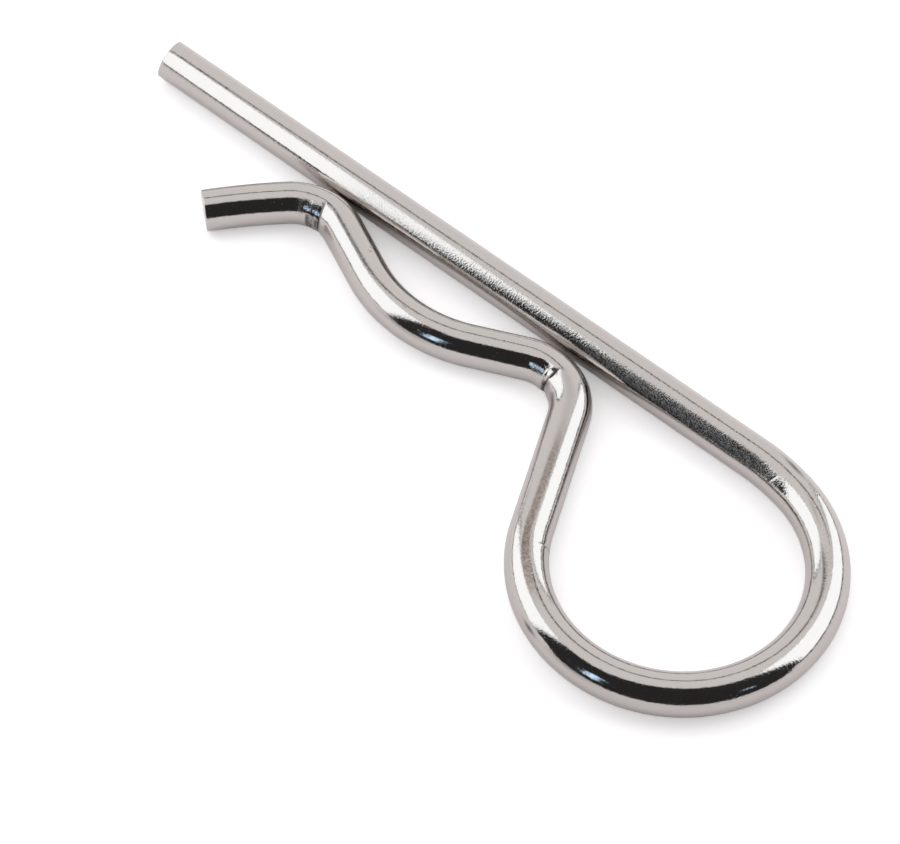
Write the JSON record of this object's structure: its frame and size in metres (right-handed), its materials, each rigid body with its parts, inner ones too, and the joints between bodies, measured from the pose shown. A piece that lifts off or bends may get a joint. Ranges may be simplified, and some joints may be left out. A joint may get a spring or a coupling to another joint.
{
  "type": "hitch r clip",
  "caption": "Round spring wire bent flat into an R shape, with a straight shank, an open end loop and a waved leg that grips a shaft.",
  "frame": {"origin": "where the axis of the gripped shaft crosses the axis of the straight shank, in the mid-plane of the wire", "axes": "+X runs along the shank from its free end to the loop, the waved leg lies on the -Y side, and +Z is the direction of the gripped shaft"},
  "size_m": [0.1116, 0.0384, 0.005],
  "materials": {
    "wire": "smooth drawn stainless wire with fine draw lines"
  },
  "bodies": {
    "root": {"clip_wire": "wire"}
  },
  "joints": []
}
